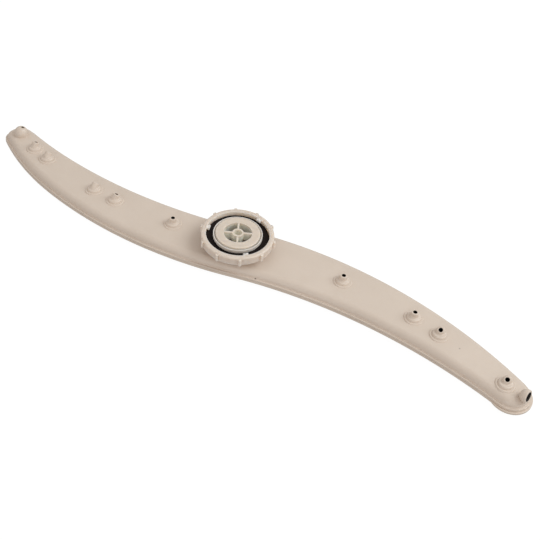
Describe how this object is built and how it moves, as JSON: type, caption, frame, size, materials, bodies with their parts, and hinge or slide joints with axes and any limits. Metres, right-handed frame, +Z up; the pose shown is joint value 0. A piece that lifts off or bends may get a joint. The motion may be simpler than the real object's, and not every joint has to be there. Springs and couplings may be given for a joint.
{
  "type": "dishwasher spray arm",
  "caption": "Hollow S-shaped dishwasher spray arm with angled spray nozzles, an outward tip jet and a hub with an inlet grid, seal and loose bayonet locking collar.",
  "frame": {"origin": "on the hub axis, at the flat underside that the arm rests on", "axes": "+X along the arm towards the wing with the tip jet, +Y across it, +Z up out of the hub"},
  "size_m": [0.4784, 0.0746, 0.0258],
  "materials": {
    "arm_plastic": "satin",
    "collar_plastic": "satin",
    "ring_plastic": "satin",
    "seal_rubber": "matt"
  },
  "bodies": {
    "arm": {"upper_shell": "arm_plastic", "lower_shell": "arm_plastic", "hub_cap": "arm_plastic", "bearing_ring": "ring_plastic"},
    "collar": {"locking_collar": "collar_plastic", "seal_washer": "seal_rubber"}
  },
  "joints": [
    {"name": "collar_turn", "type": "hinge", "parent": "arm", "child": "collar", "pos_m": [0, 0, 0.0253], "axis": [0, 0, 1], "continuous": true}
  ]
}
